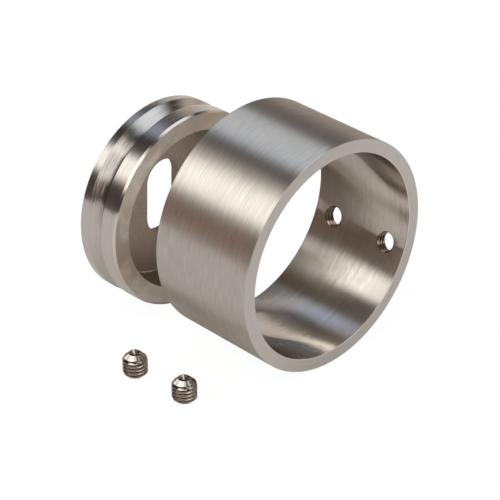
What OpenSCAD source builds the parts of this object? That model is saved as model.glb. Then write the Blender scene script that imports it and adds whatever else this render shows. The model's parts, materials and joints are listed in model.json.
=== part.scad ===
// Flange adapter for a round handrail tube, laid out in its separate pieces: a sleeve, the base that
// the sleeve slides over, and the two grub screws that hold them together.
// The origin is the middle of the sleeve, on its axis. +X points out of its mouth and +Z up.

/* [Handrail tube] */
// Outside diameter of the handrail tube that the sleeve takes
tube_od = 42.4; // [33:0.1:61]
// Clearance of the tube in the sleeve, on the diameter
tube_clearance = 0.4; // [0.2:0.1:0.8]

/* [Sleeve] */
// Wall of the sleeve
sleeve_wall = 2.75; // [2:0.05:4]
// Length of the sleeve
sleeve_length = 24.4; // [20:0.1:40]
// Chamfer that breaks the sleeve's edges
sleeve_edge = 0.15; // [0.05:0.05:0.5]
// Distance from each end of the sleeve to the middle of its screw hole
hole_inset = 5; // [4.6:0.1:7]
// How far the line of screw holes is turned below the horizontal
hole_angle = 19; // [0:1:45]
// Width of the countersink at each end of a screw hole
hole_countersink = 0.2; // [0.1:0.05:0.4]

/* [Base] */
// Clearance of the base in the sleeve, on the diameter
base_clearance = 0.8; // [0.2:0.1:1]
// Height of the base, from its back face to its rim
base_height = 10; // [9:0.1:16]
// Width of the base's rim, chamfer included
rim_width = 4; // [3.6:0.1:6]
// Chamfer on the outer edge of the rim
rim_chamfer = 0.4; // [0.1:0.05:1]
// Chamfer on the outer edge of the back face
back_chamfer = 0.3; // [0.1:0.05:1]
// Thickness of the floor that is screwed to the wall
floor_thickness = 2; // [1.5:0.1:4]
// Width of the V groove at the base's surface
groove_width = 4.1; // [2:0.1:4.4]
// Angle between the two flanks of the groove
groove_angle = 90; // [80:1:120]
// How much nearer to the wall the groove is than the rear screw hole, which draws the sleeve to the wall
groove_pull = 0.8; // [0:0.1:1.2]
// Width of the slot for the wall screw
slot_width = 8.7; // [5:0.1:10]
// Length of the slot for the wall screw
slot_length = 16.4; // [11:0.1:20]

/* [Grub screws] */
// Thread diameter of the grub screws
screw_d = 5; // [4:0.5:6]
// Pitch of their thread
screw_pitch = 0.8; // [0.5:0.1:1]
// Length of a grub screw
screw_length = 4.8; // [4.4:0.1:8]
// Chamfer at the end that holds the socket
screw_chamfer = 0.6; // [0.2:0.1:0.8]
// Diameter of the ring at the cup point
point_d = 2.5; // [1.8:0.1:3]
// Width of the flat edge of that ring
point_edge = 0.15; // [0.1:0.05:0.3]
// Width across the flats of the hexagon socket
socket_width = 2.5; // [1.5:0.1:2.5]
// Depth of the hexagon socket's flats
socket_depth = 2; // [1:0.1:2.2]

/* [Layout] */
// Space between the back of the sleeve and the rim of the base
base_gap = 12.7; // [5:0.1:30]
// How far the middle of the base's rim lies to the side of the sleeve's axis
base_side = -3.4; // [-10:0.1:10]
// How far the base's axis is turned from the sleeve's
base_turn = 1.5; // [-5:0.5:5]
// How far the slot leans from the vertical
base_roll = 2; // [-45:1:45]
// Distance of the rear screw behind the middle of the sleeve
rear_screw_back = 12; // [-20:0.1:30]
// Distance of the front screw behind the middle of the sleeve
front_screw_back = -1.1; // [-20:0.1:30]
// Distance of the rear screw's axis from the side of the sleeve
rear_screw_side = 6.4; // [3:0.1:20]
// Distance of the front screw's axis from the side of the sleeve
front_screw_side = 5.4; // [3:0.1:20]

/* [Hidden] */
$fn = 96;
bore_d = tube_od + tube_clearance;
sleeve_od = bore_d + 2 * sleeve_wall;
ground_z = -sleeve_od / 2;
base_od = bore_d - base_clearance;
recess_d = base_od - 2 * rim_width;
groove_depth = groove_width / 2 / tan(groove_angle / 2);
// The groove's middle is measured from the back face, which lies on the wall as the sleeve's end does
groove_middle = hole_inset - groove_pull;
tap_d = screw_d - screw_pitch;
hole_x = sleeve_length / 2 - hole_inset;
point_height = (screw_d - point_d) / 2;
// The thread's flanks meet at 60 degrees, and the crest and the root are cut off the full triangle
thread_angle = 60;
thread_depth = 17 / 24 * screw_pitch * cos(thread_angle / 2);
crest_width = screw_pitch / 8;
core_d = screw_d - 2 * thread_depth;
thread_turns = ceil(screw_length / screw_pitch) + 2;
turn_steps = 24;
// How far the thread's ridge is sunk in the core, which makes the two one solid
ridge_sink = 0.05;
// The cup is a cone of 120 degrees, and so is the bottom of the socket
cup_angle = 120;
cup_d = point_d - 2 * point_edge;
cup_depth = cup_d / 2 / tan(cup_angle / 2);
socket_tip = socket_width / 2 / tan(cup_angle / 2);
// Overshoot of a cutter past the face that it cuts
past = 1;

// Turns a solid made along +Z so that it lies along +X
module along_x() {
    rotate([0, 90, 0]) children();
}

module sleeve() {
    color("#b3ada6")
    difference() {
        along_x() sleeve_tube();
        for (side = [-1, 1])
            translate([side * hole_x, 0, 0]) rotate([-90 - hole_angle, 0, 0]) screw_hole();
    }
}

// The plain tube with its four edges broken
module sleeve_tube() {
    inner = bore_d / 2;
    outer = sleeve_od / 2;
    end = sleeve_length / 2;
    rotate_extrude()
        polygon([
            [inner + sleeve_edge, end],
            [outer - sleeve_edge, end],
            [outer, end - sleeve_edge],
            [outer, sleeve_edge - end],
            [outer - sleeve_edge, -end],
            [inner + sleeve_edge, -end],
            [inner, sleeve_edge - end],
            [inner, end - sleeve_edge]
        ]);
}

// Cutter for one tapped hole, from the sleeve's axis outwards through one wall
module screw_hole() {
    cylinder(d = tap_d, h = sleeve_od / 2 + past);
    translate([0, 0, bore_d / 2 - tap_d])
        cylinder(d1 = 3 * tap_d, d2 = tap_d, h = tap_d + hole_countersink);
    translate([0, 0, sleeve_od / 2 - hole_countersink])
        cylinder(d1 = tap_d, d2 = 3 * tap_d, h = tap_d);
}

module base() {
    color("#a39b93")
    difference() {
        along_x() base_cup();
        along_x() slot_cutter();
    }
}

// The turned cup, with its back face at 0 and its rim at base_height
module base_cup() {
    outer = base_od / 2;
    inner = recess_d / 2;
    rotate_extrude()
        polygon([
            [0, 0],
            [outer - back_chamfer, 0],
            [outer, back_chamfer],
            [outer, groove_middle - groove_width / 2],
            [outer - groove_depth, groove_middle],
            [outer, groove_middle + groove_width / 2],
            [outer, base_height - rim_chamfer],
            [outer - rim_chamfer, base_height],
            [inner, base_height],
            [inner, floor_thickness],
            [0, floor_thickness]
        ]);
}

// Round-ended slot through the floor
module slot_cutter() {
    reach = (slot_length - slot_width) / 2;
    translate([0, 0, -past])
        linear_extrude(floor_thickness + 2 * past) {
            square([2 * reach, slot_width], center = true);
            for (side = [-1, 1])
                translate([side * reach, 0]) circle(d = slot_width);
        }
}

// A grub screw that stands on its socket end, with its cup point up
module grub_screw() {
    color("#8b8078")
    difference() {
        intersection() {
            screw_blank();
            threaded_rod();
        }
        translate([0, 0, -past])
            cylinder(d = socket_width / cos(30), h = socket_depth + past, $fn = 6);
        translate([0, 0, socket_depth])
            cylinder(d1 = socket_width, d2 = 0, h = socket_tip);
    }
}

// The turned blank of the screw: chamfered end, shank at the thread's diameter, cone and cup
module screw_blank() {
    rotate_extrude()
        polygon([
            [0, 0],
            [screw_d / 2 - screw_chamfer, 0],
            [screw_d / 2, screw_chamfer],
            [screw_d / 2, screw_length - point_height],
            [point_d / 2, screw_length],
            [cup_d / 2, screw_length],
            [0, screw_length - cup_depth]
        ]);
}

// A core with the thread's ridge round it, which runs past both ends of the blank
module threaded_rod() {
    cylinder(d = core_d, h = screw_length + past);
    translate([0, 0, -screw_pitch]) ridge();
}

// The right-handed ridge: its section at each step round the helix, joined to the next one
module ridge() {
    last = thread_turns * turn_steps;
    corners = [for (step = [0:last]) for (corner = [0:3]) ridge_corner(step, corner)];
    sides = [
        for (step = [0:last - 1]) for (corner = [0:3])
            let (here = 4 * step + corner, next = 4 * step + (corner + 1) % 4)
            [here, next, next + 4, here + 4]
    ];
    ends = [[3, 2, 1, 0], [for (corner = [0:3]) 4 * last + corner]];
    polyhedron(points = corners, faces = concat(ends, sides), convexity = 10);
}

// One corner of the ridge's section: two lie in the core and two on the crest
function ridge_corner(step, corner) =
    let (
        turn = step / turn_steps,
        radius = corner == 1 || corner == 2 ? screw_d / 2 : core_d / 2 - ridge_sink,
        half_width = crest_width / 2 + (screw_d / 2 - radius) * tan(thread_angle / 2),
        side = corner < 2 ? -1 : 1
    )
    [radius * cos(360 * turn), radius * sin(360 * turn), screw_pitch * turn + side * half_width];

// The base lies on its edge behind the sleeve, on the surface that the sleeve lies on
module placed_base() {
    translate([-sleeve_length / 2 - base_gap, base_side, ground_z + base_od / 2])
        rotate([0, 0, base_turn]) rotate([-base_roll, 0, 0])
            translate([-base_height, 0, 0]) base();
}

// Places a grub screw on the same surface, beside the sleeve
module placed_screw(back, side) {
    translate([-back, -sleeve_od / 2 - side, ground_z]) grub_screw();
}

sleeve();
placed_base();  // base
placed_screw(rear_screw_back, rear_screw_side);  // grub_screw_rear
placed_screw(front_screw_back, front_screw_side);  // grub_screw_front
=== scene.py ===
import json
import math

import bmesh
import bpy
from mathutils import Matrix, Vector


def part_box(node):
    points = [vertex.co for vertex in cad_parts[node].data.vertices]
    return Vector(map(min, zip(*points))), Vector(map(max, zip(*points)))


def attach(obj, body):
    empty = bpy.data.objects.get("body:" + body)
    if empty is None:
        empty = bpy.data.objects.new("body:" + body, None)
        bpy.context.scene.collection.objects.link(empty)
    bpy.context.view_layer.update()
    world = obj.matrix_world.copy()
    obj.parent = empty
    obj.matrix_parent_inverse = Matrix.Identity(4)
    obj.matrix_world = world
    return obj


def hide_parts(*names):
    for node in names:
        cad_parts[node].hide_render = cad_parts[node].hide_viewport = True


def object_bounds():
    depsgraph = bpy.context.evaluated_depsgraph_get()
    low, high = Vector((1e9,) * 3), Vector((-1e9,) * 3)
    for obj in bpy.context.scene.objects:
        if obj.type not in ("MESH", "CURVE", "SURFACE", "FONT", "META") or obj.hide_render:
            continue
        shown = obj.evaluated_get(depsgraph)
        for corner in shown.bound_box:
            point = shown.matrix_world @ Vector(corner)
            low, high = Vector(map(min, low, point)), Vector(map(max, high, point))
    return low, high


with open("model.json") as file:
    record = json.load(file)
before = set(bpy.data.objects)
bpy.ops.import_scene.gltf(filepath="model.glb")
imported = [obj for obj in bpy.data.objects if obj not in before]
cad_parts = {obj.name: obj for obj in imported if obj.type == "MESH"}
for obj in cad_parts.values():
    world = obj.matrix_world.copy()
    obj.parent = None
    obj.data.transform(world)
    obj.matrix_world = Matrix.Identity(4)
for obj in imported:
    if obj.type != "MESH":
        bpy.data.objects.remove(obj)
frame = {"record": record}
cad_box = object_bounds()
mounts = {mount["name"]: mount for mount in frame["record"]["mounts"]}
mm = 0.001

# Sleeve
# A short length of 48.3 mm stainless tube, bored to slip over a 42.4 mm handrail and faced at both ends on a
# lathe. Its outside is ground with a belt that runs round it, and two M5 holes are tapped in one line.
sleeve_low, sleeve_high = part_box("sleeve")
sleeve_radius = sleeve_high.y
sleeve_length = sleeve_high.x - sleeve_low.x
bore_radius = mounts["sleeve_bore"]["dims"]["r_mm"] * mm
sleeve_edge = 0.15 * mm
turned_sides = 512
touch = 0.002 * mm

# The M5 thread has 60 degrees between its flanks, and crests an eighth of its pitch wide.
screw_radius = 2.5 * mm
pitch = 0.8 * mm
ridge_height = 0.6134 * pitch
crest_width = pitch / 8
flank_angle = math.radians(30)
flank_width = ridge_height * math.tan(flank_angle)
root_width = pitch - 2 * flank_width - crest_width
steps_per_turn = 64
tap_turns = 9
tap_start = 4 * pitch


def new_piece(name):
    """Names the primitive that was just added, and the mesh under it."""
    piece = bpy.context.object
    piece.name = name
    piece.data.name = name
    return piece


def only(piece):
    """Makes a piece the selected and active one."""
    bpy.ops.object.select_all(action="DESELECT")
    piece.select_set(True)
    bpy.context.view_layer.objects.active = piece


def off_axis(point):
    """Distance from the Z axis, round which each turned piece is modelled before it is laid down."""
    return math.hypot(point.x, point.y)


def near(value, target):
    """Whether two measures are the same, within touch."""
    return abs(value - target) < touch


def choose(kind, test):
    """In edit mode, selects each vert, edge or face that has all its corners where test says."""
    bpy.ops.mesh.select_mode(type={"verts": "VERT", "edges": "EDGE", "faces": "FACE"}[kind])
    bpy.ops.mesh.select_all(action="DESELECT")
    shape = bmesh.from_edit_mesh(bpy.context.object.data)
    for element in getattr(shape, kind):
        corners = [element] if kind == "verts" else element.verts
        element.select_set(all(test(corner.co) for corner in corners))
    shape.select_flush_mode()
    bmesh.update_edit_mesh(bpy.context.object.data)


def choose_ring(height, radius):
    """In edit mode, selects the ring of edges at a height on the Z axis and a distance from it."""
    choose("edges", lambda co: near(co.z, height) and near(off_axis(co), radius))


def face_outwards():
    """In edit mode, turns every face of a closed shape outwards."""
    bpy.ops.mesh.select_all(action="SELECT")
    bpy.ops.mesh.normals_make_consistent(inside=False)


def place(piece, matrix):
    """Moves the mesh and not the object, which stays at the origin."""
    piece.data.transform(matrix)
    piece.data.update()


def boolean(piece, cutter, operation):
    """Cuts a piece with a cutter, or crosses the two, and removes the cutter. Faces keep their material."""
    only(piece)
    cut = piece.modifiers.new("cut", "BOOLEAN")
    cut.operation = operation
    cut.solver = "EXACT"
    cut.object = cutter
    cut.material_mode = "TRANSFER"
    bpy.ops.object.modifier_apply(modifier=cut.name)
    bpy.data.objects.remove(cutter)


def threaded_rod(name, turns):
    """A rod along +Z with an M5 ridge on it: a pitch of its profile, swept by the screw modifier and capped.
    The profile is drawn by extrusion from one corner, which is a small circle merged to its middle."""
    core = screw_radius - ridge_height
    crest_start = root_width + flank_width
    crest_end = crest_start + crest_width
    profile = ((core, root_width), (screw_radius, crest_start), (screw_radius, crest_end), (core, pitch))
    bpy.ops.mesh.primitive_circle_add(vertices=3, radius=pitch, location=(0, 0, 0))
    rod = new_piece(name)
    bpy.ops.object.mode_set(mode="EDIT")
    bpy.ops.mesh.select_mode(type="VERT")
    bpy.ops.mesh.merge(type="CENTER")
    bpy.ops.transform.translate(value=(core, 0, 0))
    last = Vector((core, 0))
    for corner in profile:
        stride = Vector(corner) - last
        bpy.ops.mesh.extrude_vertices_move(TRANSFORM_OT_translate={"value": (stride.x, 0, stride.y)})
        last = Vector(corner)
    bpy.ops.object.mode_set(mode="OBJECT")
    sweep = rod.modifiers.new("thread", "SCREW")
    sweep.axis = "Z"
    sweep.screw_offset = pitch
    sweep.iterations = turns
    sweep.steps = sweep.render_steps = steps_per_turn
    sweep.use_merge_vertices = True
    sweep.merge_threshold = touch
    only(rod)
    bpy.ops.object.modifier_apply(modifier=sweep.name)
    bpy.ops.object.mode_set(mode="EDIT")
    bpy.ops.mesh.select_all(action="SELECT")
    bpy.ops.mesh.remove_doubles(threshold=touch)
    bpy.ops.mesh.select_all(action="DESELECT")
    bpy.ops.mesh.select_mode(type="EDGE")
    bpy.ops.mesh.select_non_manifold()
    bpy.ops.mesh.edge_face_add()
    face_outwards()
    bpy.ops.object.mode_set(mode="OBJECT")
    return rod


def linear(colour):
    """Turns an sRGB hex colour to the linear values that a shader takes."""
    values = [int(colour[at : at + 2], 16) / 255 for at in (1, 3, 5)]
    return [value / 12.92 if value < 0.04045 else ((value + 0.055) / 1.055) ** 2.4 for value in values] + [1]


def add_node(tree, kind, settings, inputs):
    """Adds a shader node with its settings, and gives each input its value or the socket that feeds it."""
    node = tree.nodes.new("ShaderNode" + kind)
    for name, value in settings.items():
        setattr(node, name, value)
    for name, value in inputs.items():
        if isinstance(value, bpy.types.NodeSocket):
            tree.links.new(value, node.inputs[name])
        else:
            node.inputs[name].default_value = value
    return node


def lined_steel(
    name, colour, centre, axis, roughness, anisotropy, line, length, spread, waver, streak, edge, root=None
):
    """Stainless steel with machining lines round an axis, line apart and length long, and others four times
    as coarse among them. A fine line leans the surface across itself by up to spread, which draws a highlight
    out. A coarse one leans it along itself by up to waver, which frays the highlight's edge, and lightens or
    darkens the steel by up to streak. Edge is how much the steel mirrors at a grazing angle. A thread, which
    is given the radius of its root, is painted darker towards it, as painted shade in its valleys."""
    slant = 1.6
    coarse_scale = 0.25
    quarter_turn = 0.25
    noise_range = {"From Min": 0.25, "From Max": 0.75}
    # How dark the painted shade at a thread's root is, and over how far out from the root it fades.
    painted_root_shade = 0.08
    painted_root_fade = 0.25 * mm

    material = bpy.data.materials.new(name)
    material.use_nodes = True
    tree = material.node_tree
    tree.nodes.clear()
    position = add_node(tree, "TexCoord", {}, {})
    arm = add_node(tree, "VectorMath", {"operation": "SUBTRACT"}, {0: position.outputs["Object"], 1: centre})
    around = add_node(tree, "VectorMath", {"operation": "CROSS_PRODUCT"}, {0: axis, 1: arm.outputs["Vector"]})
    along = add_node(tree, "VectorMath", {"operation": "DOT_PRODUCT"}, {0: axis, 1: arm.outputs["Vector"]})
    reach = add_node(tree, "VectorMath", {"operation": "LENGTH"}, {0: around.outputs["Vector"]})

    # The pattern moves on along the axis, and outwards as well, so that an end face has its lines too.
    across = add_node(
        tree,
        "Math",
        {"operation": "MULTIPLY_ADD"},
        {0: reach.outputs["Value"], 1: slant, 2: along.outputs["Value"]},
    )
    lines = add_node(tree, "Math", {"operation": "DIVIDE"}, {0: across.outputs["Value"], 1: line})
    stride = add_node(tree, "VectorMath", {"operation": "SCALE"}, {0: axis, "Scale": lines.outputs["Value"]})
    spot = add_node(
        tree,
        "VectorMath",
        {"operation": "MULTIPLY_ADD"},
        {0: around.outputs["Vector"], 1: (1 / length,) * 3, 2: stride.outputs["Vector"]},
    )
    fine = add_node(tree, "TexNoise", {}, {"Vector": spot.outputs["Vector"], "Scale": 1.0, "Detail": 2.0})
    coarse = add_node(
        tree, "TexNoise", {}, {"Vector": spot.outputs["Vector"], "Scale": coarse_scale, "Detail": 2.0}
    )

    # The lines lean the surface across themselves and along themselves.
    surface = add_node(tree, "NewGeometry", {}, {})
    unit_around = add_node(tree, "VectorMath", {"operation": "NORMALIZE"}, {0: around.outputs["Vector"]})
    unit_across = add_node(
        tree,
        "VectorMath",
        {"operation": "CROSS_PRODUCT"},
        {0: surface.outputs["Normal"], 1: unit_around.outputs["Vector"]},
    )
    leant = surface.outputs["Normal"]
    for direction, noise, most in ((unit_across, fine, spread), (unit_around, coarse, waver)):
        lean = add_node(
            tree,
            "MapRange",
            {"clamp": False},
            {"Value": noise.outputs["Fac"], **noise_range, "To Min": -most, "To Max": most},
        )
        leant = add_node(
            tree,
            "VectorMath",
            {"operation": "MULTIPLY_ADD"},
            {0: direction.outputs["Vector"], 1: lean.outputs["Result"], 2: leant},
        ).outputs["Vector"]
    normal = add_node(tree, "VectorMath", {"operation": "NORMALIZE"}, {0: leant})

    tone = add_node(
        tree,
        "MapRange",
        {},
        {"Value": coarse.outputs["Fac"], **noise_range, "To Min": 1 - streak, "To Max": 1 + streak},
    ).outputs["Result"]
    # Painted shade: a thread's steel darkens towards its root radius, to stand for the shade in its valleys.
    if root is not None:
        depth = add_node(
            tree,
            "MapRange",
            {},
            {
                "Value": reach.outputs["Value"],
                "From Min": root,
                "From Max": root + painted_root_fade,
                "To Min": painted_root_shade,
                "To Max": 1.0,
            },
        )
        tone_with_painted_shade = add_node(tree, "Math", {"operation": "MULTIPLY"}, {0: tone, 1: depth.outputs["Result"]})
        tone = tone_with_painted_shade.outputs["Value"]
    tint = add_node(tree, "VectorMath", {"operation": "SCALE"}, {0: linear(colour)[:3], "Scale": tone})
    steel = add_node(
        tree,
        "BsdfPrincipled",
        {},
        {
            "Base Color": tint.outputs["Vector"],
            "Metallic": 1.0,
            "Roughness": roughness,
            "Anisotropic": anisotropy,
            "Anisotropic Rotation": quarter_turn,
            "Specular Tint": (edge, edge, edge, 1.0),
            "Tangent": unit_around.outputs["Vector"],
            "Normal": normal.outputs["Vector"],
        },
    )
    add_node(tree, "OutputMaterial", {}, {"Surface": steel.outputs["BSDF"]})
    return material


def finish_faces(piece, material, test):
    """Gives a material to the faces that have all their corners where test says."""
    if material.name not in piece.data.materials:
        piece.data.materials.append(material)
    bpy.ops.object.mode_set(mode="EDIT")
    choose("faces", test)
    piece.active_material_index = piece.data.materials.find(material.name)
    bpy.ops.object.material_slot_assign()
    bpy.ops.object.mode_set(mode="OBJECT")


def shade_smooth(piece):
    """Shades a piece smooth, but for the edges where its faces meet at more than 30 degrees."""
    only(piece)
    bpy.ops.object.shade_smooth_by_angle(angle=math.radians(30))


def even_out(piece):
    """Lets the large faces of a turned piece keep their own direction, beside its narrow bevels."""
    even = piece.modifiers.new("even", "WEIGHTED_NORMAL")
    even.keep_sharp = True
    bpy.ops.object.modifier_apply(modifier=even.name)


bpy.ops.object.select_all(action="DESELECT")
bpy.ops.mesh.primitive_cylinder_add(vertices=turned_sides, radius=sleeve_radius, depth=sleeve_length)
sleeve = new_piece("ground_sleeve")
half_length = sleeve_length / 2
bpy.ops.object.mode_set(mode="EDIT")
for end in (-half_length, half_length):
    choose("faces", lambda co: near(co.z, end))
    bpy.ops.mesh.inset(thickness=sleeve_radius - bore_radius)
    bpy.ops.mesh.delete(type="FACE")
choose("edges", lambda co: near(off_axis(co), bore_radius))
bpy.ops.mesh.bridge_edge_loops()
for end in (-half_length, half_length):
    for radius in (bore_radius, sleeve_radius):
        choose_ring(end, radius)
        bpy.ops.mesh.bevel(offset=sleeve_edge, segments=2, affect="EDGES")
face_outwards()
bpy.ops.object.mode_set(mode="OBJECT")

sleeve_middle = (0.0, 0.0, 0.0)
sleeve_axis = (1.0, 0.0, 0.0)

# Belt-ground stainless. The scratches run round the tube, and draw each highlight out into a soft satin band
# along it. Real ones, some 0.01 mm apart, are too fine to show, so they are drawn at 0.03 mm and coarser.
ground = lined_steel(
    "belt_ground_stainless", "#C6BFB6", sleeve_middle, sleeve_axis, roughness=0.39, anisotropy=1.0,
    line=0.03 * mm, length=1 * mm, spread=0.1, waver=0.012, streak=0.2, edge=0.35,
)
# Bored stainless. The boring bar leaves it brighter than the outside, so it mirrors the lamps as clear bands.
# Its rings are drawn coarser than the real ones too, which are some 0.02 mm apart.
bored = lined_steel(
    "bored_stainless", "#E2DBD2", sleeve_middle, sleeve_axis, roughness=0.17, anisotropy=1.0,
    line=0.04 * mm, length=2 * mm, spread=0.09, waver=0.006, streak=0.13, edge=0.5,
)
# Faced stainless. Its rings are so even that the end faces look plain and dull.
faced = lined_steel(
    "faced_stainless", "#CAC4BD", sleeve_middle, sleeve_axis, roughness=0.4, anisotropy=0.8,
    line=0.15 * mm, length=6 * mm, spread=0.2, waver=0.02, streak=0.03, edge=0.7,
)
# Edges of the bore, broken and polished. They give a thin bright line where they mirror a lamp.
broken = lined_steel(
    "broken_edge_stainless", "#D9D0C6", sleeve_middle, sleeve_axis, roughness=0.14, anisotropy=0.0,
    line=0.1 * mm, length=4 * mm, spread=0.03, waver=0.02, streak=0.1, edge=0.7,
)
# Tapped stainless. The flanks of the thread are coloured dark brown as painted shade inside the holes, with
# small sharp glints.
tapped = lined_steel(
    "tapped_stainless", "#7A6A5E", sleeve_middle, sleeve_axis, roughness=0.12, anisotropy=0.0,
    line=0.2 * mm, length=2 * mm, spread=0.05, waver=0.03, streak=0.05, edge=0.2,
)
sleeve.data.materials.append(ground)
finish_faces(sleeve, bored, lambda co: near(off_axis(co), bore_radius))
for side in (-1, 1):
    finish_faces(sleeve, faced, lambda co: side * co.z > half_length - sleeve_edge - touch)
    finish_faces(
        sleeve,
        broken,
        lambda co: side * co.z > half_length - sleeve_edge - touch
        and off_axis(co) < bore_radius + sleeve_edge + touch,
    )
lay_down = Matrix.Rotation(math.radians(90), 4, "Y")
place(sleeve, lay_down)

for name in ("thread_rear", "thread_front"):
    outward = Vector(mounts[name]["axis"])
    turn = outward.to_track_quat("Z", "Y").to_matrix().to_4x4()
    tap = threaded_rod("tap", tap_turns)
    tap.data.materials.append(tapped)
    place(tap, Matrix.Translation(Vector(mounts[name]["pos_m"]) - outward * tap_start) @ turn)
    boolean(sleeve, tap, "DIFFERENCE")
shade_smooth(sleeve)
even_out(sleeve)

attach(sleeve, "root")
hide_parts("sleeve")

# Base
# A stainless cup turned from bar, screwed to the wall through the slot in its floor. The V groove round it
# takes the point of the rear grub screw, and pulls the sleeve back to the wall as the screw goes in.
base_radius = 21.0 * mm
base_height = 10.0 * mm
floor_thickness = 2.0 * mm
rim_width = 4.0 * mm
recess_radius = base_radius - rim_width
groove_middle = 4.2 * mm
groove_half = 2.05 * mm
rim_chamfer = 0.4 * mm
back_chamfer = 0.3 * mm
recess_fillet = 0.25 * mm
slot_width = 8.7 * mm
slot_length = 16.4 * mm
slot_lean = math.radians(2)
slot_segments = 32
base_axis = -Vector(mounts["base_back"]["axis"])
base_back = Vector(mounts["wall_screw_slot"]["pos_m"]) - base_axis * floor_thickness

bpy.ops.object.select_all(action="DESELECT")
bpy.ops.mesh.primitive_cylinder_add(
    vertices=turned_sides, radius=base_radius, depth=base_height, location=(0, 0, base_height / 2)
)
base = new_piece("turned_base")
bpy.ops.object.transform_apply(location=True)
bpy.ops.object.mode_set(mode="EDIT")
choose("faces", lambda co: near(co.z, base_height))
bpy.ops.mesh.inset(thickness=rim_width)
bpy.ops.mesh.extrude_region_move(TRANSFORM_OT_translate={"value": (0, 0, floor_thickness - base_height)})
for height in (groove_middle - groove_half, groove_middle, groove_middle + groove_half):
    choose("faces", lambda co: near(off_axis(co), base_radius))
    bpy.ops.mesh.bisect(plane_co=(0, 0, height), plane_no=(0, 0, 1))
choose("verts", lambda co: near(co.z, groove_middle) and near(off_axis(co), base_radius))
shrink = (base_radius - groove_half) / base_radius
bpy.ops.transform.resize(value=(shrink, shrink, 1), center_override=(0, 0, groove_middle))
for height, radius, cut, segments in (
    (base_height, base_radius, rim_chamfer, 1),
    (0, base_radius, back_chamfer, 1),
    (floor_thickness, recess_radius, recess_fillet, 3),
):
    choose_ring(height, radius)
    bpy.ops.mesh.bevel(offset=cut, segments=segments, affect="EDGES")
face_outwards()
bpy.ops.object.mode_set(mode="OBJECT")

# Bright-turned stainless. It is smooth enough to mirror the lamps as crisp bands, with dark gaps between.
turned = lined_steel(
    "bright_turned_stainless", "#C0B9B1", base_back, base_axis, roughness=0.2, anisotropy=0.9,
    line=0.12 * mm, length=4 * mm, spread=0.08, waver=0.006, streak=0.04, edge=1.0,
)
# The front side of the groove, coloured darker and mirroring little at a grazing angle, as painted shade in
# the groove. It stays dark where the rim is bright.
groove_painted_shade = lined_steel(
    "turned_groove_stainless", "#A79E95", base_back, base_axis, roughness=0.2, anisotropy=0.9,
    line=0.12 * mm, length=4 * mm, spread=0.02, waver=0.006, streak=0.04, edge=0.05,
)
# The chamfer round the rim. It is nearly as smooth as a mirror, and glints where it meets the light.
rim_edge = lined_steel(
    "turned_chamfer_stainless", "#CFC6BB", base_back, base_axis, roughness=0.13, anisotropy=0.0,
    line=0.12 * mm, length=4 * mm, spread=0.06, waver=0.02, streak=0.1, edge=0.3,
)
# Faced rim. The tool chattered as it crossed it, so its light is mottled in streaks that run outwards.
rim_faced = lined_steel(
    "faced_rim_stainless", "#CFC4B7", base_back, base_axis, roughness=0.33, anisotropy=1.0,
    line=4 * mm, length=0.7 * mm, spread=0.1, waver=0.1, streak=0.1, edge=0.7,
)
# Floor of the recess, left rough. Its grain scatters the light and looks matt and sandy. The real grain, some
# 0.05 mm, is too fine to show, so it is drawn at 0.12 mm.
floor_faced = lined_steel(
    "matt_floor_stainless", "#BAADA0", base_back, base_axis, roughness=0.55, anisotropy=0.0,
    line=0.12 * mm, length=0.12 * mm, spread=0.12, waver=0.12, streak=0.2, edge=0.7,
)
# Bored wall of the recess. It is a dull grey brown, because it mirrors little but the floor beside it.
wall_bored = lined_steel(
    "bored_recess_stainless", "#A0958B", base_back, base_axis, roughness=0.4, anisotropy=0.8,
    line=0.15 * mm, length=4 * mm, spread=0.15, waver=0.01, streak=0.05, edge=0.7,
)
# Milled wall of the slot. It is darker still, with the cutter's marks along it.
milled = lined_steel(
    "milled_slot_stainless", "#80746A", base_back, base_axis, roughness=0.45, anisotropy=0.3,
    line=0.2 * mm, length=1 * mm, spread=0.1, waver=0.03, streak=0.05, edge=0.7,
)
base.data.materials.append(turned)
# The groove's front side gets the darker steel, painted shade in the groove.
finish_faces(base, groove_painted_shade, lambda co: groove_middle - touch < co.z < groove_middle + groove_half + touch)
finish_faces(
    base,
    rim_edge,
    lambda co: co.z > base_height - rim_chamfer - touch and off_axis(co) > base_radius - rim_chamfer - touch,
)
finish_faces(base, rim_faced, lambda co: near(co.z, base_height))
finish_faces(base, floor_faced, lambda co: near(co.z, floor_thickness) and off_axis(co) < recess_radius)
finish_faces(base, wall_bored, lambda co: near(off_axis(co), recess_radius))

# The slot's cutter is a block whose four upright edges are rounded until its ends are half circles.
bpy.ops.object.select_all(action="DESELECT")
bpy.ops.mesh.primitive_cube_add(size=1, scale=(slot_length, slot_width, 4 * floor_thickness))
slot_cutter = new_piece("slot_cutter")
bpy.ops.object.transform_apply(scale=True)
bpy.ops.object.mode_set(mode="EDIT")
for end, side in ((-1, -1), (-1, 1), (1, -1), (1, 1)):
    choose("edges", lambda co: end * co.x > 0 and side * co.y > 0)
    bpy.ops.mesh.bevel(offset=slot_width / 2 - touch, segments=slot_segments, affect="EDGES")
bpy.ops.object.mode_set(mode="OBJECT")
slot_cutter.data.materials.append(milled)
boolean(base, slot_cutter, "DIFFERENCE")
shade_smooth(base)
even_out(base)

stand = base_axis.to_track_quat("X", "Z").to_matrix().to_4x4()
place(base, Matrix.Translation(base_back) @ stand @ Matrix.Rotation(-slot_lean, 4, "X") @ lay_down)

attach(base, "root")
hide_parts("base")

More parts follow.
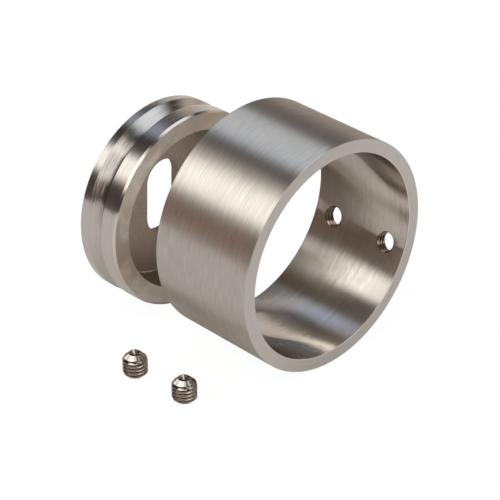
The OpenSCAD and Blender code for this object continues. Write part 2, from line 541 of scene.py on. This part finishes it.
# Grub screws
# Two M5 stainless screws with rolled threads and turned cup points. They stand on their hexagon sockets, with
# the points up, and are one screw, modelled once and copied.
screw_low, screw_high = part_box("grub_screw_front")
screw_length = screw_high.z - screw_low.z
screw_sides = 96
screw_turns = 8
screw_chamfer = 0.6 * mm
point_radius = 1.25 * mm
cup_radius = 1.1 * mm
cup_bottom_radius = 0.02 * cup_radius
cup_depth = cup_radius * math.tan(math.radians(30))
socket_width = 2.5 * mm
socket_depth = 2.0 * mm
socket_corner = socket_width / 2 / math.cos(math.radians(30))

bpy.ops.object.select_all(action="DESELECT")
bpy.ops.mesh.primitive_cylinder_add(
    vertices=screw_sides, radius=screw_radius, depth=screw_length, location=(0, 0, screw_length / 2)
)
blank = new_piece("screw_blank")
bpy.ops.object.transform_apply(location=True)
bpy.ops.object.mode_set(mode="EDIT")
for height, cut in ((screw_length, screw_radius - point_radius), (0, screw_chamfer)):
    choose_ring(height, screw_radius)
    bpy.ops.mesh.bevel(offset=cut, segments=1, affect="EDGES")
choose("faces", lambda co: near(co.z, screw_length))
bpy.ops.mesh.inset(thickness=point_radius - cup_radius)
bpy.ops.mesh.inset(thickness=cup_radius - cup_bottom_radius)
bpy.ops.transform.translate(value=(0, 0, -cup_depth))
bpy.ops.object.mode_set(mode="OBJECT")


def screw_steels(foot):
    """The steels of a screw that stands on this foot: its rolled thread, and its turned ends."""
    upright = (0.0, 0.0, 1.0)
    # Rolled stainless. The rolls burnish the crests, which glint, while the roots are painted nearly black as
    # shade.
    rolled = lined_steel(
        "rolled_thread_stainless", "#C2B6AB", foot, upright, roughness=0.13, anisotropy=0.0,
        line=0.3 * mm, length=2 * mm, spread=0.02, waver=0.02, streak=0.05, edge=0.2,
        # The root's radius, towards which the painted shade darkens the thread.
        root=screw_radius - ridge_height,
    )
    # Turned stainless. The cone and the cup are smooth, and mirror the lamps in small patches.
    point = lined_steel(
        "turned_point_stainless", "#B5A99E", foot, upright, roughness=0.16, anisotropy=0.0,
        line=0.1 * mm, length=2 * mm, spread=0.05, waver=0.02, streak=0.05, edge=0.2,
    )
    return rolled, point


# The rod starts a pitch below the blank, which cuts its ends to shape.
rolled, point = screw_steels((0.0, 0.0, 0.0))
blank.data.materials.append(point)
rear_screw = threaded_rod("rear_grub_screw", screw_turns)
rear_screw.data.materials.append(rolled)
place(rear_screw, Matrix.Translation((0, 0, -pitch)))
boolean(rear_screw, blank, "INTERSECT")
bpy.ops.object.select_all(action="DESELECT")
bpy.ops.mesh.primitive_cylinder_add(vertices=6, radius=socket_corner, depth=2 * socket_depth)
socket_cutter = new_piece("socket_cutter")
socket_cutter.data.materials.append(point)
boolean(rear_screw, socket_cutter, "DIFFERENCE")
shade_smooth(rear_screw)
front_screw = rear_screw.copy()
front_screw.data = rear_screw.data.copy()
front_screw.name = front_screw.data.name = "front_grub_screw"
bpy.context.collection.objects.link(front_screw)

for screw, node in ((rear_screw, "grub_screw_rear"), (front_screw, "grub_screw_front")):
    low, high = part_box(node)
    foot = ((low.x + high.x) / 2, (low.y + high.y) / 2, low.z)
    place(screw, Matrix.Translation(foot))
    screw.data.materials[0], screw.data.materials[1] = screw_steels(foot)
    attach(screw, "root")
    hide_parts(node)

# Paper
# A roll of white paper that lies flat towards the camera and sweeps up behind the pieces. The camera sees it
# as white, metal sees it as a faint pale light that fades towards the back, and it keeps the pieces' shadow.
floor_z = cad_box[0][2]
paper_width = 1.5
paper_front = 0.6
paper_back = 0.5
sweep_radius = 0.3
sweep_steps = 12
sweep_height = 0.18
sweep_stride = sweep_radius * math.radians(90) / sweep_steps
away = Vector((-0.7, 0.714, 0.0))
paper_seen = 0.9
paper_glow = 1.05
paper_mirrored = 0.03
mirrored_reach = 0.4

bpy.ops.object.select_all(action="DESELECT")
bpy.ops.mesh.primitive_plane_add(size=1, location=(0, (paper_back - paper_front) / 2, floor_z))
bpy.ops.transform.resize(value=(paper_width, paper_front + paper_back, 1))
paper = new_piece("paper")
bpy.ops.object.transform_apply(location=True, scale=True)
bpy.ops.object.mode_set(mode="EDIT")
choose("edges", lambda co: near(co.y, paper_back))
for sweep_step in range(sweep_steps):
    rise = math.radians(90) * (sweep_step + 0.5) / sweep_steps
    stride = (0, sweep_stride * math.cos(rise), sweep_stride * math.sin(rise))
    bpy.ops.mesh.extrude_edges_move(TRANSFORM_OT_translate={"value": stride})
bpy.ops.mesh.extrude_edges_move(TRANSFORM_OT_translate={"value": (0, 0, sweep_height)})
bpy.ops.object.mode_set(mode="OBJECT")
shade_smooth(paper)
place(paper, away.to_track_quat("Y", "Z").to_matrix().to_4x4())

# Uncoated paper, white and wholly matt.
paper_stock = bpy.data.materials.new("white_paper")
paper_stock.use_nodes = True
sheet = paper_stock.node_tree
sheet.nodes.clear()
ray = add_node(sheet, "LightPath", {}, {})
in_metal = add_node(
    sheet,
    "Math",
    {"operation": "MAXIMUM"},
    {0: ray.outputs["Is Glossy Ray"], 1: ray.outputs["Is Transmission Ray"]},
)
sheet_at = add_node(sheet, "TexCoord", {}, {})
depth = add_node(sheet, "VectorMath", {"operation": "DOT_PRODUCT"}, {0: sheet_at.outputs["Object"], 1: away})
fade = add_node(
    sheet,
    "MapRange",
    {},
    {
        "Value": depth.outputs["Value"],
        "From Min": 0.0,
        "From Max": mirrored_reach,
        "To Min": paper_mirrored,
        "To Max": 0.0,
    },
)
mirrored = add_node(
    sheet, "Math", {"operation": "MULTIPLY"}, {0: in_metal.outputs["Value"], 1: fade.outputs["Result"]}
)
seen = add_node(sheet, "Math", {"operation": "MULTIPLY"}, {0: ray.outputs["Is Camera Ray"], 1: paper_seen})
shown = add_node(
    sheet, "Math", {"operation": "MAXIMUM"}, {0: mirrored.outputs["Value"], 1: seen.outputs["Value"]}
)
matt = add_node(sheet, "BsdfDiffuse", {}, {"Color": linear("#F0ECE8")})
white = add_node(sheet, "Emission", {}, {"Color": linear("#FFFFFF"), "Strength": paper_glow})
mixed = add_node(
    sheet, "MixShader", {}, {0: shown.outputs["Value"], 1: matt.outputs["BSDF"], 2: white.outputs["Emission"]}
)
add_node(sheet, "OutputMaterial", {}, {"Surface": mixed.outputs["Shader"]})
paper.data.materials.append(paper_stock)

# Lamps
# A dim room with soft boxes hung round the pieces. Metal mirrors each as a band, so each hangs where a band in
# the photograph needs it. The camera sees the room as white, and metal sees a faint haze of that.
haze_strength = 0.035
studio = bpy.data.worlds.new("soft_box_studio")
bpy.context.scene.world = studio
studio.use_nodes = True
room = studio.node_tree
room.nodes.clear()
toward = add_node(room, "TexCoord", {}, {})
share = add_node(room, "SeparateXYZ", {}, {0: toward.outputs["Generated"]})
turn_at = add_node(room, "Math", {"operation": "ARCTAN2"}, {0: share.outputs["Z"], 1: share.outputs["Y"]})


def soft_step(value, middle, half_width):
    """A soft step from 0 to 1 in a value, or from 1 to 0 where the half width is negative."""
    ends = {"Value": value, "From Min": middle - half_width, "From Max": middle + half_width}
    return add_node(room, "MapRange", {"interpolation_type": "SMOOTHSTEP"}, ends).outputs["Result"]


def soft_box(light, low, high, back, front, colour, strength, soft, soft_end):
    """Adds a soft box to the light. It spans two angles round the sleeve's axis, of which 90 is overhead and
    180 is to the left, and two shares of a direction along that axis, of which 1 is straight in front of the
    mouth. Its edges fade over soft degrees to each side, and its ends over a share of soft_end."""
    angle = turn_at.outputs["Value"]
    softness = math.radians(soft)
    glow = soft_step(angle, math.radians(low), softness)
    for value, middle, half_width in (
        (angle, math.radians(high), -softness),
        (share.outputs["X"], back, soft_end),
        (share.outputs["X"], front, -soft_end),
    ):
        stop = soft_step(value, middle, half_width)
        glow = add_node(room, "Math", {"operation": "MULTIPLY"}, {0: glow, 1: stop}).outputs["Value"]
    tint = [strength * value for value in linear(colour)[:3]]
    added = add_node(room, "VectorMath", {"operation": "MULTIPLY_ADD"}, {0: glow, 1: tint, 2: light})
    return added.outputs["Vector"]


# The room's own light is a warm and very dark grey.
light = add_node(room, "RGB", {}, {}).outputs["Color"]
light.default_value = linear("#292725")

# The key hangs over the left, with a brighter middle and bright ends. It leaves a gap round the camera, which
# the groove and the threads' valleys mirror, so that they stay dark.
light = soft_box(light, 118, 146, -0.84, 0.4, "#FFFFFF", 1.35, soft=8, soft_end=0.03)
light = soft_box(light, 110, 152, -0.4, 0.4, "#FFFFFF", 1.5, soft=8, soft_end=0.1)
light = soft_box(light, 118, 146, -0.56, -0.38, "#FFFFFF", 0.9, soft=7, soft_end=0.04)
light = soft_box(light, 106, 154, -1.2, -0.84, "#FFFFFF", 2.2, soft=8, soft_end=0.03)
light = soft_box(light, 106, 154, 0.73, 0.86, "#FFFFFF", 2.2, soft=8, soft_end=0.04)
light = soft_box(light, 100, 118, 0.4, 0.73, "#FFFFFF", 1.6, soft=6, soft_end=0.04)

# Cool boxes over the right give the grey band on top of the sleeve, and the blue ones on the base.
light = soft_box(light, 67, 86, -0.84, -0.4, "#CCDEFF", 0.55, soft=7, soft_end=0.05)
light = soft_box(light, 56, 91, -0.32, 0.35, "#E6F1FF", 2.3, soft=6, soft_end=0.1)
light = soft_box(light, 43, 80, 0.35, 0.82, "#EAF3FF", 1.4, soft=8, soft_end=0.1)

# A coppery one low on the left warms the sleeve's side below the key. A dim one low on the right fills in.
light = soft_box(light, 154, 182, -0.25, 0.35, "#FFCDB8", 0.85, soft=6, soft_end=0.1)
light = soft_box(light, -20, 28, 0.05, 0.85, "#FFF4EA", 0.7, soft=8, soft_end=0.1)

# Warm ones in front of the mouth light the faces that look that way.
light = soft_box(light, 25, 60, 0.85, 1.2, "#FFF0E4", 1.6, soft=8, soft_end=0.1)
light = soft_box(light, 60, 125, 0.88, 1.2, "#FFF0E4", 0.6, soft=8, soft_end=0.1)
light = soft_box(light, 150, 190, 0.84, 1.2, "#FFEBDC", 1.6, soft=8, soft_end=0.04)

room_ray = add_node(room, "LightPath", {}, {})
hazed = add_node(
    room,
    "Math",
    {"operation": "MAXIMUM"},
    {0: room_ray.outputs["Is Glossy Ray"], 1: room_ray.outputs["Is Transmission Ray"]},
)
haze = add_node(room, "Math", {"operation": "MULTIPLY"}, {0: hazed.outputs["Value"], 1: haze_strength})
backdrop = add_node(
    room, "Math", {"operation": "MAXIMUM"}, {0: room_ray.outputs["Is Camera Ray"], 1: haze.outputs["Value"]}
)
all_light = add_node(
    room, "VectorMath", {"operation": "MULTIPLY_ADD"}, {0: backdrop.outputs["Value"], 1: (1, 1, 1), 2: light}
)
background = add_node(room, "Background", {}, {"Color": all_light.outputs["Vector"], "Strength": 1.0})
add_node(room, "OutputWorld", {}, {"Surface": background.outputs["Background"]})

# Camera
# Stands where the photograph was taken from, 0.42 m away, above and in front of the sleeve's mouth. Its long
# lens sees the pieces with little perspective.
camera_at = Vector((255.37, -260.69, 215.65)) * mm
right = Vector((0.6994, 0.7147, 0.0)).normalized()
up = Vector((-0.3681, 0.3603, 0.8571))
up = (up - right * up.dot(right)).normalized()
back = right.cross(up)
bpy.ops.object.camera_add()
camera = bpy.context.object
camera.matrix_world = Matrix.Translation(camera_at) @ Matrix((right, up, back)).transposed().to_4x4()
camera.data.sensor_width = 36
camera.data.lens = 155.8008
camera.data.clip_start = 0.01
bpy.context.scene.camera = camera
bpy.context.scene.view_settings.view_transform = "Standard"
